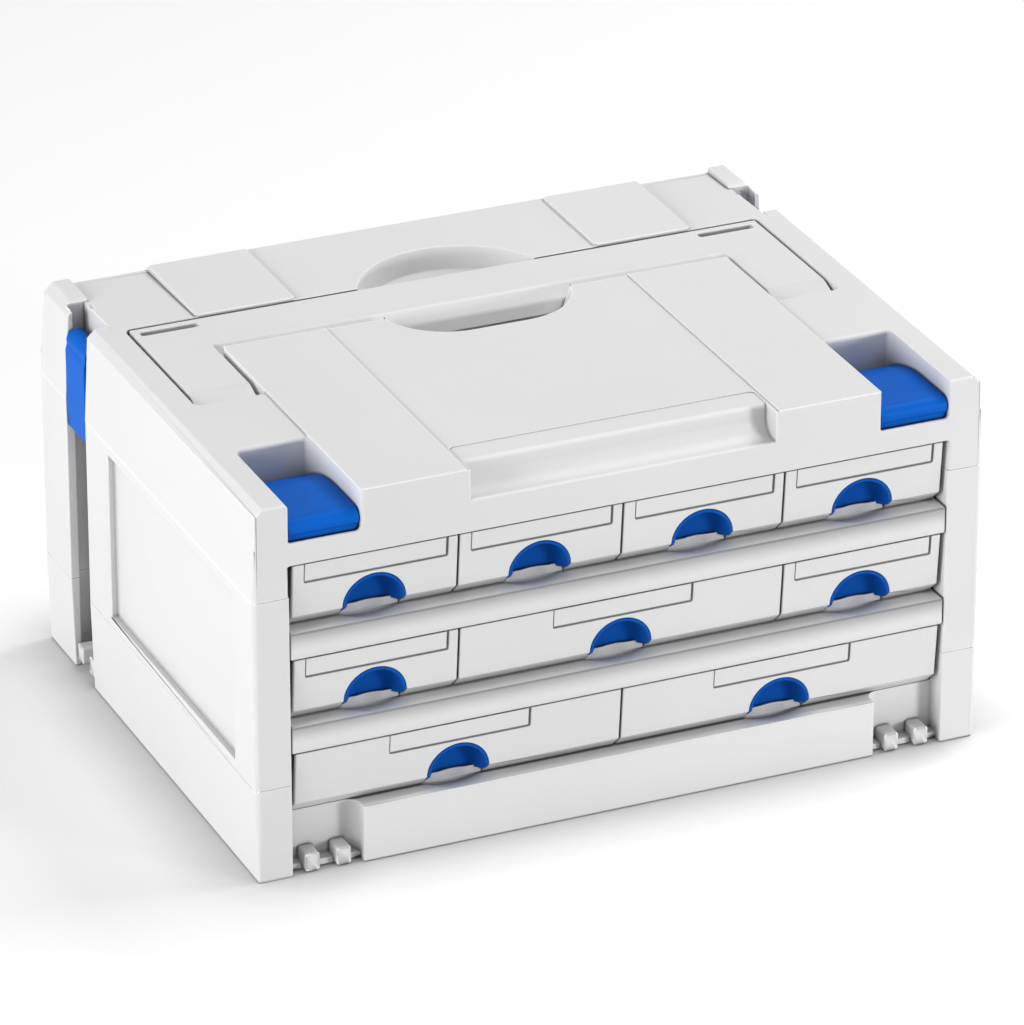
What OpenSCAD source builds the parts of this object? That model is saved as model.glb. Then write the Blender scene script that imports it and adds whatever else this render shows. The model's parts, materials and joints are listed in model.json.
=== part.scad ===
// Stackable case with nine small drawers, four stacking clips and a folding carry handle.
// Origin: middle of the footprint, on the floor. X runs right, Y to the back, Z up. Millimetres.

/* [Case] */
// Width over the two sides
case_w = 396; // [372:1:430]
// Depth from the front rails to the back wall
case_d = 296; // [284:1:330]
// Height of the bottom row's deck above the floor
deck_z = 31; // [30:0.5:36]
// Height from one row's deck to the next
row_pitch = 51.5; // [51:0.5:58]
// Height of the top surface above the level of a fourth deck
roof_rise = 18.5; // [17.5:0.5:24]
// Height of each joint line above a deck
seam_rise = 20; // [16:0.5:24]
// Radius of the upright corners
corner_r = 3; // [2:0.5:4]
// How far each side leans in from the upper joint line to the top
side_draft = 2.6; // [1:0.1:3]
// How far the back leans in over the same height
back_draft = 3; // [1:0.1:4]
// Bevel along the two upper side edges
side_bevel = 3.6; // [1:0.1:4]
// How far the sides and back lean in below the lower joint line
foot_draft = 1.3; // [0.5:0.1:2]
// Thickness of the moulded walls
wall = 2.5; // [2:0.1:3]
// Thickness of the top skin
roof_t = 3; // [2.5:0.1:4]
// Width of each front pillar
pillar_w = 19.5; // [18:0.5:22]
// Depth to which the underside is hollowed between its rims
underside_d = 2; // [1:0.5:3]

/* [Side panels] */
// Depth of the panel sunk in each side
panel_sink = 4; // [2:0.5:5]
// Distance from the front to the sunk panel
panel_front_inset = 27; // [24:1:40]
// Distance from the side channel to the sunk panel
panel_back_inset = 32; // [24:1:40]
// Distance from each joint line to the sunk panel
panel_edge = 5.5; // [4:0.5:10]

/* [Side channels] */
// Width of the channel at the back of each side
channel_w = 28; // [26:1:32]
// Distance from the channel to the back of the case
channel_inset = 38; // [36:1:42]
// Depth of the channel
channel_d = 14.5; // [13.5:0.5:15]
// Width of the hidden pocket behind the channel's lip
channel_pocket_w = 8; // [6:0.5:10]
// Width of the channel's lip
channel_lip = 5; // [4:0.5:5.5]

/* [Stacking recesses] */
// Width of the middle plate on the top and of the panel below the drawers
middle_w = 281; // [272:1:290]
// Depth of the recess between panel and pillar
recess_d = 11.5; // [10:0.5:12]
// Radius of the fillet between the recess and the panel
recess_fillet_r = 7; // [4:0.5:8]
// Width of a stacking peg
peg_w = 7.7; // [6:0.1:9]
// Height of a stacking peg
peg_h = 9.5; // [8:0.5:11]
// Distance between the two pegs of a pair
peg_pitch = 16.8; // [15:0.2:18]
// Distance from the case's face to the end of a peg
peg_back = 1; // [0.5:0.1:2]
// Height of a peg above the floor
peg_lift = 1; // [0.8:0.1:2]
// Thickness of the sill under the pegs
peg_sill_t = 3; // [2:0.5:4]
// Distance from the case's face to that sill
peg_sill_back = 5; // [4:0.5:6]

/* [Decks] */
// Thickness of a deck
deck_t = 4; // [3.8:0.1:5]
// Height of the rail along the front of a deck
rail_h = 14.8; // [14.4:0.1:16]
// Depth of that rail
rail_d = 11.5; // [11:0.5:12]
// Thickness of the rail's top, over its hollow
rail_top_t = 6; // [5:0.5:7]
// Width of the rib that carries each end of a deck
rib_w = 4; // [2:0.5:5]
// Thickness of that rib
rib_t = 3; // [2:0.5:4]
// Width of the finger scoop in front of a drawer pull
scoop_w = 35; // [28:0.5:36]
// Depth of the scoop where it meets the drawer
scoop_depth = 3; // [2:0.1:3.7]
// Thickness of a divider between two drawers
divider_t = 2; // [1.6:0.1:2.2]
// Height of a divider
divider_h = 36.9; // [30:0.1:37]

/* [Drawers] */
// Gap between two drawer faces
face_gap = 0.9; // [0.6:0.1:1.2]
// Gap between the outer faces and the pillars
pillar_gap = 1.9; // [1:0.1:2.5]
// Height of a drawer face above its deck
face_h = 36.2; // [34:0.1:36.4]
// Height of the face's lower edge above its deck
face_foot = 7.4; // [6.8:0.1:9]
// Distance from the case's front to the top edge of a face
face_back = 1; // [0.8:0.1:2]
// Distance from the top edge of a face back to its lower edge
face_foot_back = 2.6; // [1:0.1:3]
// Distance from the case's front to the foot of the undercut
undercut_back = 11.2; // [10.6:0.1:12]
// Thickness of a drawer's front
front_t = 2.5; // [2:0.1:3]
// Thickness of a drawer's walls and floor
tray_t = 2; // [1.4:0.1:2.4]
// Height of a drawer's walls above its deck
tray_h = 31; // [26:0.5:32]
// Distance from a drawer's face edge to its wall
tray_inset = 2.3; // [2.1:0.1:3]
// Distance from the back of the case to a drawer's back
tray_back_inset = 30; // [12:1:60]

/* [Drawer pulls and labels] */
// Radius of the arched pull
cup_r = 16.7; // [14:0.1:17.5]
// Height of the arch's centre above the deck
cup_rise = 6.7; // [5.5:0.1:8]
// Depth of the pull behind the face
cup_depth = 12; // [8:0.5:12.5]
// Radius of the flat at the bottom of the pull
cup_flat_r = 6; // [5:0.5:9]
// Thickness of the pull's shell
cup_t = 1.6; // [1.2:0.1:1.8]
// Height of the pull's lower edge above the deck
cup_foot = 4.2; // [3:0.1:5]
// Width of a label strip
label_w = 74.6; // [60:0.5:78]
// Height of a label strip
label_h = 9.6; // [7:0.1:9.8]
// Thickness of a label strip
label_t = 1.4; // [1:0.1:1.6]
// How far a label strip stands out from the face
label_proud = 0.2; // [0.1:0.1:0.5]
// Width of the groove below a label strip and at its right-hand end
label_groove = 1.1; // [0.5:0.1:1.5]

/* [Top] */
// Height of the middle plate above the side strips
plate_up = 1; // [0.5:0.1:1.4]
// Width of the lower field in the middle plate
field_w = 168; // [150:1:180]
// Depth of that field
field_sink = 0.6; // [0.3:0.1:0.9]
// Depth of the bare name field along the grip notch
name_sink = 0.4; // [0.2:0.1:0.6]
// Distance from the front to the back edge of the name field
name_back = 28; // [18:0.5:32]
// Width of a raised pad at the back
pad_w = 55; // [45:1:60]
// Depth of a raised pad
pad_d = 68; // [66:1:72]
// Height of a raised pad
pad_up = 1.5; // [1:0.1:2]
// How far the strips beside the pads fall towards the back
strip_fall = 2.2; // [0.5:0.1:2.4]
// Distance from the back of the case to the pads
pad_inset = 5; // [4:0.5:7]
// Width of the raised block at each back corner
block_w = 14; // [10:0.5:15]
// Depth of the slope at the front of that block
block_slope_d = 10; // [8:0.5:12]
// Height of that slope
block_slope_h = 3; // [2:0.5:4]
// Width of the grip notch in the front edge
notch_w = 165; // [140:1:168]
// Depth of the grip notch
notch_d = 12; // [9:0.5:12.5]
// Height of the grip notch above its sill
notch_h = 15.7; // [12:0.1:16.5]

/* [Clip wells] */
// Depth of a front clip well, from front to back
well_d = 68; // [67:1:78]
// Depth of the well below the top surface
well_deep = 28.5; // [27.5:0.5:29]
// Height of the well's front sill below the top surface
sill_drop = 21; // [20.6:0.1:23]

/* [Carry handle] */
// Depth of the handle from hinge end to grip side
handle_d = 96; // [90:0.2:102]
// Width of each arm
arm_w = 33; // [30:0.5:34]
// Depth of the grip bar
bar_d = 39; // [34:0.2:40]
// Thickness of the handle
handle_t = 14; // [12:0.5:15]
// Gap round the handle
handle_gap = 1.3; // [1:0.1:2]
// Gap between an arm and the middle plate
arm_gap = 2.4; // [1:0.1:3]
// Gap behind the grip bar
bar_gap = 0.5; // [0.4:0.1:2]
// Bevel on the front of the grip bar
bar_bevel = 6.5; // [4:0.5:8]
// Length of the slope at the front end of each arm
arm_slope_d = 13; // [8:0.5:16]
// Height of that slope
arm_slope_h = 4.5; // [2:0.1:5]
// Length of the slot at each corner of the handle
slot_l = 31; // [24:1:32]
// Width of that slot
slot_w = 4.4; // [3:0.1:6]
// Distance from the slot to the handle's back edge
slot_inset = 4.4; // [4:0.1:9]
// Radius of the handle's hinge pins
handle_pin_r = 2.5; // [2:0.1:3]
// Radius of the finger bowl under the grip bar
bowl_r = 54; // [50:1:56]
// Depth of the finger bowl
bowl_deep = 23; // [21:0.5:26]

/* [Clips] */
// Radius of a front clip's knuckle
front_knuckle_r = 5; // [4:0.1:5.2]
// Distance from the case's front to the front clip's axis
front_axis_back = 6.3; // [6:0.1:8]
// Depth of the front clip's axis below the top surface
front_axis_drop = 14.7; // [14:0.1:15.2]
// Length of a front clip behind its axis
front_clip_l = 59.5; // [50:0.5:60]
// How far a front clip's free end curves down
front_clip_drop = 9.6; // [5:0.1:10]
// Thickness of a clip's plate
clip_t = 4; // [3:0.1:4.5]
// Thickness of the apron that hangs from a front clip's knuckle behind the sill
apron_t = 3; // [2:0.1:3.4]
// How far that apron hangs below the top of the sill
apron_h = 0.5; // [0.3:0.1:1]
// Height of the hook at a clip's free end
hook_h = 7.5; // [6:0.1:8]
// Thickness of that hook
hook_t = 4; // [3:0.1:5]
// Radius of a side clip's knuckle
side_knuckle_r = 5.5; // [4.5:0.1:5.8]
// Distance from the case's side to the side clip's axis
side_axis_in = 6.6; // [6.2:0.1:7]
// Depth of the side clip's axis below the top surface
side_axis_drop = 16.3; // [14:0.1:17]
// Length of a side clip below its axis
side_clip_l = 48.5; // [40:0.5:54]
// Radius of the clip pins
clip_pin_r = 1.5; // [1.2:0.1:1.8]

/* [Case screws] */
// Radius of a screw's shank
screw_r = 1.9; // [1.5:0.1:2.2]
// Radius of a screw's head
screw_head_r = 3.8; // [3:0.1:4]
// Height of a screw's head
screw_head_h = 2.8; // [2:0.1:3.5]
// Length of a screw's shank
screw_l = 33; // [28:1:36]
// Radius of a screw boss
boss_r = 5.6; // [5.2:0.1:6]
// Distance that a screw passes through the outer boss
screw_pass = 16; // [12:1:18]
// Distance from the case's side to the screws
screw_side_inset = 10; // [9.5:0.5:11]
// Distance from the case's front to the front screws
screw_front_inset = 11.5; // [10:0.5:14]
// Distance from the case's back to the back screws
screw_back_inset = 14.5; // [12:0.5:16]

/* [Fits] */
// Clearance of sliding and stacked pieces
slide_fit = 0.3; // [0.2:0.05:0.5]
// Clearance of inserts in their seats
seat_fit = 0.15; // [0.1:0.05:0.25]
// Radial clearance of a pin that turns
pin_fit = 0.06; // [0.03:0.01:0.1]

/* [Hidden] */
$fn = 48;

// Overrun of every cut past the face that it opens
over = 1;
// Where the sides, front and back of the case lie
side_x = case_w / 2;
front_y = -case_d / 2;
back_y = case_d / 2;
// Levels of the joint lines and of the top surface
ROWS = 3;
seam_low_z = deck_z + seam_rise;
seam_high_z = deck_z + (ROWS - 1) * row_pitch + seam_rise;
top_z = deck_z + ROWS * row_pitch + roof_rise;
// The bay that holds the drawers, and the cavities beside it
bay_x = side_x - pillar_w;
cavity_x = bay_x + wall;
skin_x = side_x - wall;
inner_back_y = back_y - wall;
// Where the deck of the bottom row begins, behind its ledge
deck_front_y = front_y + recess_d + wall;
// Side channels, seen from above
channel_back_y = back_y - channel_inset;
channel_front_y = channel_back_y - channel_w;
channel_x = side_x - channel_d;
pocket_back_y = channel_back_y + channel_pocket_w;
// Middle plate and the wells beside it
middle_x = middle_w / 2;
well_back_y = front_y + well_d;
well_floor_z = top_z - well_deep;
sill_z = top_z - sill_drop;
// Layout of the top, from the back towards the front
pad_front_y = back_y - pad_inset - pad_d;
handle_back_y = pad_front_y - bar_gap;
handle_front_y = handle_back_y - handle_d;
bar_front_y = handle_back_y - bar_d;
plate_back_y = bar_front_y - handle_gap;
handle_top_z = top_z - slide_fit;
handle_axis_y = handle_front_y + handle_t / 2;
handle_axis_z = handle_top_z - handle_t / 2;
arm_in_x = middle_x + arm_gap;
arm_out_x = arm_in_x + arm_w;
pad_out_x = field_w / 2 + pad_w;
block_in_x = side_x - side_draft - block_w;
block_z = top_z + plate_up;
trough_z = handle_top_z - handle_t - handle_gap;
bowl_y = (bar_front_y + handle_back_y) / 2;
bowl_floor_z = top_z - bowl_deep;
// Axes of the clips
front_axis_y = front_y + front_axis_back;
front_axis_z = top_z - front_axis_drop;
side_axis_x = side_x - side_axis_in;
side_axis_z = top_z - side_axis_drop;
clip_mid_x = (middle_x + bay_x) / 2;
front_clip_w = bay_x - middle_x - 2 * (slide_fit + seat_fit);
channel_mid_y = (channel_front_y + channel_back_y) / 2;
side_clip_w = channel_w - 2 * (slide_fit + seat_fit);
// Drawer cells: how many cells wide each drawer is, row by row from the top
ROW_CELLS = [[1, 1, 1, 1], [1, 2, 1], [2, 2]];
CELLS = 4;
DRAWERS = 9;
cell_w = 2 * (bay_x - pillar_gap) / CELLS;
// Radius of the cylinder that cuts a finger scoop, and its tilt
scoop_r = (scoop_w * scoop_w / 4 + scoop_depth * scoop_depth) / (2 * scoop_depth);
scoop_tilt = atan(scoop_depth / rail_d);
// Shares that shape the finger bowl: plan size at half depth and at the floor, and its front lobes
bowl_mid_share = 0.93;
bowl_floor_share = 0.66;
lobe_x_share = 0.28;
lobe_r_share = 0.685;
lobe_y_share = 0.26;
// Share of a peg's width that rounds its edges
peg_round_share = 0.2;
// Points along each quarter of a drawn curve
CURVE = 8;

function deck_of(row) = deck_z + (ROWS - 1 - row) * row_pitch;
function row_of(k) = k < 4 ? 0 : k < 7 ? 1 : 2;
function place_of(k) = k < 4 ? k : k < 7 ? k - 4 : k - 7;
function cells_of(k) = ROW_CELLS[row_of(k)][place_of(k)];
function cells_before(row, i) = i <= 0 ? 0 : ROW_CELLS[row][i - 1] + cells_before(row, i - 1);
function edge_x(row, i) = (cells_before(row, i) - CELLS / 2) * cell_w;
function middle_of(k) = edge_x(row_of(k), place_of(k)) + cells_of(k) * cell_w / 2;
function face_w(k) = cells_of(k) * cell_w - face_gap;
// Outer surface of a drawer's front, as a distance along Y, at a height above its deck
face_top_y = front_y + face_back;
face_foot_y = face_top_y + face_foot_back;
function face_y(h) = face_foot_y - face_foot_back * (h - face_foot) / (face_h - face_foot);

module slab(low, high) {
    translate(low) cube(high - low);
}

module both_sides() {
    children();
    mirror([1, 0, 0]) children();
}

// Draws along X a shape given as Y and Z
module along_x(length) {
    rotate([90, 0, 90]) linear_extrude(length, center = true) children();
}

// Draws along Y a shape given as X and Z
module along_y(length) {
    rotate([90, 0, 0]) linear_extrude(length, center = true) children();
}

module rounded_plan(w, d, r) {
    square([w - 2 * r, d], center = true);
    square([w, d - 2 * r], center = true);
    for (sx = [-1, 1], sy = [-1, 1]) {
        translate([sx * (w / 2 - r), sy * (d / 2 - r)]) circle(r = r);
    }
}

// One storey of the case, leaning in by the given amounts at its bottom and its top
module storey(low, high, in_low, in_high, back_low, back_high) {
    intersection() {
        translate([0, 0, low]) linear_extrude(high - low) rounded_plan(case_w, case_d, corner_r);
        along_y(case_d + over) polygon([[in_low - side_x, low], [side_x - in_low, low],
            [side_x - in_high, high], [in_high - side_x, high]]);
        along_x(case_w + over) polygon([[front_y - over, low], [back_y - back_low, low],
            [back_y - back_high, high], [front_y - over, high]]);
    }
}

// What lies outside the bevels of the upper side edges
module beyond_bevels(high) {
    edge = side_x - side_draft;
    both_sides() translate([0, 0, high]) along_y(case_d + 2 * over)
        polygon([[edge + over, -side_bevel - over], [edge + over, 2 * over],
            [edge - side_bevel - 2 * over, 2 * over]]);
}

// The upright channel near the back of both sides
module channels(low, high) {
    both_sides() {
        slab([channel_x, channel_front_y, low - over], [side_x + over, channel_back_y, high + over]);
        slab([channel_x, channel_front_y, low - over],
            [side_x - channel_lip, pocket_back_y, high + over]);
    }
}

// Hollows between the drawer bay and the outer skin, ahead of and behind the channel
module side_hollows(low, high, skin) {
    both_sides() {
        slab([cavity_x, front_y + wall, low], [skin, channel_front_y - wall, high]);
        slab([cavity_x, pocket_back_y + wall, low], [skin, inner_back_y - back_draft, high]);
    }
}

module at_screws() {
    both_sides() {
        translate([side_x - screw_side_inset, front_y + screw_front_inset, 0]) children();
        translate([side_x - screw_side_inset, back_y - screw_back_inset, 0]) children();
    }
}

// A boss that a screw passes through from below, with room for its head
module outer_boss(low, high) {
    translate([0, 0, low]) cylinder(h = high - low, r = boss_r);
}

module screw_way(low, high) {
    translate([0, 0, low - over]) cylinder(h = high - screw_pass - low + over, r = screw_head_r + slide_fit);
    translate([0, 0, high - screw_pass - over]) cylinder(h = screw_pass + 2 * over, r = screw_r + slide_fit);
}

// The pilot hole that a screw bites into, above a joint line
module pilot(seam) {
    translate([0, 0, seam - over]) cylinder(h = screw_l - screw_pass + 2 * over, r = screw_r + pin_fit);
}

module screw(seam) {
    translate([0, 0, seam - screw_pass - screw_head_h]) {
        cylinder(h = screw_head_h, r = screw_head_r);
        cylinder(h = screw_head_h + screw_l, r = screw_r);
    }
}

// A stacking peg: a block with its long edges rounded, pointing along -Y
module peg(reach) {
    r = peg_w * peg_round_share;
    rotate([90, 0, 0]) linear_extrude(reach) translate([0, peg_h / 2]) rounded_plan(peg_w, peg_h, r);
}

module peg_pair(reach) {
    for (s = [-1, 1]) {
        translate([s * peg_pitch / 2, 0, peg_lift]) peg(reach);
    }
}

// Plan of the room between panel and pillar, with a fillet where it meets the panel
module recess(high) {
    r = recess_fillet_r;
    back = front_y + recess_d;
    translate([0, 0, -over]) linear_extrude(high + over) {
        translate([middle_x + r, front_y - over]) square([bay_x - middle_x - r, recess_d + over]);
        translate([middle_x, front_y - over]) square([r + over, recess_d + over - r]);
        translate([middle_x + r, back - r]) circle(r = r);
    }
}

module base_tray() {
    floor_z = underside_d + wall;
    shelf_z = deck_z - deck_t;
    color("lightgray") difference() {
        union() {
            difference() {
                storey(0, seam_low_z, foot_draft, 0, foot_draft, 0);
                channels(0, seam_low_z);
                // Drawer bay, the seat of the deck, and the hollow under it
                slab([-bay_x, front_y - over, deck_z], [bay_x, inner_back_y, seam_low_z + over]);
                slab([-bay_x, deck_front_y, shelf_z], [bay_x, inner_back_y, deck_z + over]);
                slab([-bay_x, deck_front_y, floor_z], [bay_x, inner_back_y - foot_draft, shelf_z + over]);
                slab([wall - middle_x, front_y + wall, floor_z],
                    [middle_x - wall, deck_front_y + over, shelf_z]);
                side_hollows(floor_z, seam_low_z + over, skin_x - foot_draft);
                // Recesses beside the panel
                both_sides() recess(deck_z + over);
                // Underside between the rims
                slab([-middle_x, deck_front_y, -over],
                    [middle_x, inner_back_y - recess_d, underside_d]);
            }
            // Ribs that carry the deck
            both_sides() slab([bay_x - rib_w, deck_front_y, shelf_z - rib_t],
                [bay_x, inner_back_y, shelf_z]);
            both_sides() slab([middle_x, front_y + peg_sill_back, peg_lift],
                [bay_x, front_y + recess_d, peg_lift + peg_sill_t]);
            both_sides() translate([clip_mid_x, front_y + recess_d + wall / 2, 0])
                peg_pair(recess_d + wall / 2 - peg_back);
            both_sides() translate([channel_x - wall / 2, channel_mid_y, peg_lift + peg_sill_t])
                rotate([0, 0, 90]) peg_pair(channel_d + wall / 2 - peg_back - foot_draft);
            at_screws() outer_boss(floor_z - wall, seam_low_z);
        }
        at_screws() screw_way(0, seam_low_z);
        scoops(ROWS - 1);
    }
}

module middle_frame() {
    color("gainsboro") difference() {
        union() {
            difference() {
                storey(seam_low_z, seam_high_z, 0, 0, 0, 0);
                channels(seam_low_z, seam_high_z);
                slab([-bay_x, front_y - over, seam_low_z - over],
                    [bay_x, inner_back_y, seam_high_z + over]);
                side_hollows(seam_low_z - over, seam_high_z + over, skin_x - panel_sink);
                both_sides() slab(
                    [side_x - panel_sink, front_y + panel_front_inset, seam_low_z + panel_edge],
                    [side_x + over, channel_front_y - panel_back_inset, seam_high_z - panel_edge]);
            }
            for (row = [0 : ROWS - 2]) {
                both_sides() slab([bay_x - rib_w, front_y + rail_d + wall, deck_of(row) - deck_t - rib_t],
                    [bay_x + wall / 2, inner_back_y + wall / 2, deck_of(row) - deck_t]);
            }
            at_screws() translate([0, 0, seam_low_z]) cylinder(h = screw_l - screw_pass + wall, r = boss_r);
            at_screws() outer_boss(seam_high_z - screw_pass - screw_head_h - wall, seam_high_z);
        }
        at_screws() pilot(seam_low_z);
        at_screws() screw_way(seam_high_z - screw_pass - screw_head_h - wall, seam_high_z);
    }
}

// Plan of the finger bowl: round at the back, squarer at the front
module bowl_plan() {
    intersection() {
        circle(r = bowl_r);
        translate([-bowl_r, 0]) square([2 * bowl_r, bowl_r]);
    }
    for (s = [-1, 1]) {
        translate([s * lobe_x_share * bowl_r, -lobe_y_share * bowl_r]) circle(r = lobe_r_share * bowl_r);
    }
}

module finger_bowl() {
    translate([0, bowl_y, 0]) hull() {
        translate([0, 0, top_z]) linear_extrude(2 * over) bowl_plan();
        translate([0, 0, (top_z + bowl_floor_z) / 2]) linear_extrude(over) scale(bowl_mid_share) bowl_plan();
        translate([0, 0, bowl_floor_z]) linear_extrude(over) scale(bowl_floor_share) bowl_plan();
    }
}

// Room for the folded handle: two arms and the grip bar
module handle_trough(grow) {
    out_x = arm_out_x + handle_gap + grow;
    low = trough_z - grow;
    high = top_z + (grow > 0 ? -roof_t / 2 : 2 * over);
    both_sides() slab([middle_x - grow, handle_front_y - handle_gap - grow, low],
        [out_x, pad_front_y + grow, high]);
    slab([-out_x, plate_back_y - grow, low], [out_x, pad_front_y + grow, high]);
}

// Section of the grip notch: a sill in front, a hollow curve behind it
module notch_section() {
    floor_z = top_z - notch_h;
    r = notch_d * 3 / 4;
    y = front_y + notch_d;
    polygon(concat([[front_y - over, floor_z], [front_y - over, top_z + 2 * over], [y, top_z + 2 * over]],
        [for (i = [0 : CURVE])
            [y - r * (1 - cos(90 * i / CURVE)), floor_z + r * (1 - sin(90 * i / CURVE))]]));
}

// What lies above the slope from the corner block down to the side channel
module above_block_slope() {
    foot_y = channel_back_y + wall;
    low = block_z - block_slope_h;
    w = side_x + over - block_in_x;
    translate([block_in_x + w / 2, 0, 0]) along_x(w) polygon([[channel_back_y - over, low], [foot_y, low],
        [foot_y + block_slope_d, block_z], [foot_y + block_slope_d, block_z + over],
        [channel_back_y - over, block_z + over]]);
}

// What lies above a strip that falls towards the back, beside the pad
module above_strip() {
    w = channel_x + over - pad_out_x;
    translate([pad_out_x + w / 2, 0, top_z]) along_x(w) polygon([[pad_front_y, 0],
        [back_y + over, -strip_fall], [back_y + over, 2 * over], [pad_front_y, 2 * over]]);
}

module top_cover() {
    roof_z = top_z - roof_t;
    lip_z = deck_of(0) + row_pitch - rail_h;
    hollow_x = bay_x - wall;
    color("whitesmoke") difference() {
        union() {
            difference() {
                storey(seam_high_z, top_z, 0, side_draft, 0, back_draft);
                channels(seam_high_z, top_z);
                slab([-bay_x, front_y - over, seam_high_z - over],
                    [bay_x, inner_back_y - back_draft, lip_z]);
                slab([-hollow_x, front_y + wall, lip_z - over],
                    [hollow_x, inner_back_y - back_draft, roof_z]);
                side_hollows(seam_high_z - over, roof_z, skin_x - side_draft);
                both_sides() above_strip();
            }
            // Thicker roof under the sloping strips
            both_sides() slab([pad_out_x, pad_front_y, roof_z - strip_fall],
                [block_in_x, inner_back_y - back_draft, roof_z + over]);
            // Raised plate, pads and corner blocks
            slab([-middle_x, front_y, roof_z], [middle_x, plate_back_y, top_z + plate_up]);
            both_sides() slab([field_w / 2, pad_front_y, roof_z],
                [pad_out_x, back_y - pad_inset, top_z + pad_up]);
            both_sides() slab([block_in_x, pocket_back_y, roof_z],
                [side_x - side_draft, back_y - back_draft, block_z]);
            // Walls round the handle's trough, the bowl, the notch and the clip wells
            handle_trough(wall);
            slab([-bowl_r - wall, bowl_y - bowl_r - wall, bowl_floor_z - wall],
                [bowl_r + wall, bowl_y + bowl_r + wall, roof_z + over]);
            slab([-notch_w / 2 - wall, front_y, top_z - notch_h - wall],
                [notch_w / 2 + wall, front_y + notch_d + wall, roof_z + over]);
            both_sides() slab([middle_x - wall, front_y, well_floor_z - wall],
                [bay_x + wall, well_back_y + wall, roof_z + over]);
            at_screws() translate([0, 0, seam_high_z]) cylinder(h = screw_l - screw_pass + wall, r = boss_r);
        }
        slab([-field_w / 2, front_y - over, top_z + plate_up - field_sink],
            [field_w / 2, plate_back_y + over, top_z + 2 * over]);
        beyond_bevels(top_z);
        both_sides() above_block_slope();
        // Bare field for a name, between the grip notch and a low step
        slab([-notch_w / 2, front_y + notch_d - over, top_z + plate_up - field_sink - name_sink],
            [notch_w / 2, front_y + name_back, top_z + 2 * over]);
        handle_trough(0);
        finger_bowl();
        along_x(notch_w) notch_section();
        both_sides() slab([middle_x, front_y + wall, well_floor_z], [bay_x, well_back_y, top_z + 2 * over]);
        both_sides() slab([middle_x, front_y - over, sill_z], [bay_x, well_back_y, top_z + 2 * over]);
        at_screws() pilot(seam_high_z);
        // Seats of the hinge pins
        both_sides() handle_pin(pin_fit);
        both_sides() front_clip_pin(pin_fit);
        both_sides() side_clip_pin(pin_fit);
    }
}

// The three hinge pins of the right-hand side, grown by a clearance
module handle_pin(grow) {
    out_x = arm_out_x + handle_gap;
    translate([(middle_x + out_x) / 2, handle_axis_y, handle_axis_z]) rotate([0, 90, 0])
        cylinder(h = out_x - middle_x + wall, r = handle_pin_r + grow, center = true);
}

module front_clip_pin(grow) {
    translate([clip_mid_x, front_axis_y, front_axis_z]) rotate([0, 90, 0])
        cylinder(h = bay_x - middle_x + wall, r = clip_pin_r + grow, center = true);
}

module side_clip_pin(grow) {
    translate([side_axis_x, (channel_front_y + pocket_back_y) / 2, side_axis_z]) rotate([90, 0, 0])
        cylinder(h = channel_w + channel_pocket_w + wall, r = clip_pin_r + grow, center = true);
}

module handle_pins() {
    color("silver") both_sides() handle_pin(0);
}

module clip_pins() {
    color("silver") both_sides() {
        front_clip_pin(0);
        side_clip_pin(0);
    }
}

module case_screws() {
    color("dimgray") at_screws() {
        screw(seam_low_z);
        screw(seam_high_z);
    }
}

// Finger scoops in the edge of a deck, one before each drawer of the row
module scoops(row) {
    for (k = [0 : DRAWERS - 1]) {
        if (row_of(k) == row) {
            translate([middle_of(k), front_y + rail_d, deck_of(row) - scoop_depth])
                rotate([90 - scoop_tilt, 0, 0]) translate([0, scoop_r, -over])
                    cylinder(h = rail_d + scoop_r, r = scoop_r);
        }
    }
}

module shelf(row) {
    z = deck_of(row);
    x = bay_x - slide_fit;
    color("gainsboro") difference() {
        slab([-x, front_y, z - rail_h], [x, inner_back_y - slide_fit, z]);
        slab([-x - over, front_y + rail_d, z - rail_h - over], [x + over, back_y, z - deck_t]);
        slab([-x - over, front_y + wall, z - rail_h + wall],
            [x + over, front_y + rail_d + over, z - rail_top_t]);
        scoops(row);
    }
}

module shelf_top_row() {
    shelf(0);
}

module shelf_middle_row() {
    shelf(1);
}

module shelf_bottom_row() {
    x = bay_x - slide_fit;
    color("gainsboro") slab([-x, deck_front_y + slide_fit, deck_z - deck_t],
        [x, inner_back_y - slide_fit, deck_z]);
}

module divider(row, i) {
    color("gainsboro") slab([edge_x(row, i) - divider_t / 2, front_y + rail_d + wall, deck_of(row)],
        [edge_x(row, i) + divider_t / 2, inner_back_y - back_draft - slide_fit, deck_of(row) + divider_h]);
}

// Outline of a drawer's front from the side: a leaning face and an undercut below it
module front_section() {
    foot_y = front_y + undercut_back;
    polygon([[face_top_y, face_h], [face_foot_y, face_foot], [foot_y, slide_fit],
        [foot_y + front_t, slide_fit], [face_foot_y + front_t, face_foot + front_t / 2],
        [face_top_y + front_t, face_h]]);
}

// Side view of everything behind the drawer's outer surface
module behind_face_section() {
    foot_y = front_y + undercut_back;
    polygon([[face_top_y, face_h], [face_foot_y, face_foot], [foot_y, slide_fit],
        [back_y, slide_fit], [back_y, face_h]]);
}

// Room for the pull in the drawer's front, above its lower edge
module pull_seat() {
    r = cup_r + seat_fit;
    length = undercut_back + front_t + cup_t + cup_depth / 2;
    translate([0, front_y, cup_rise]) rotate([-90, 0, 0]) cylinder(h = length, r = r);
    slab([-r, front_y, cup_foot - seat_fit], [r, front_y + length, cup_rise]);
}

// Plan of the pull, for the hollow and for the outside of its shell
module cup_plan(r, deep, ahead) {
    cup_half(cup_flat_r, r, deep, ahead);
    mirror([1, 0]) cup_half(cup_flat_r, r, deep, ahead);
}

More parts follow.
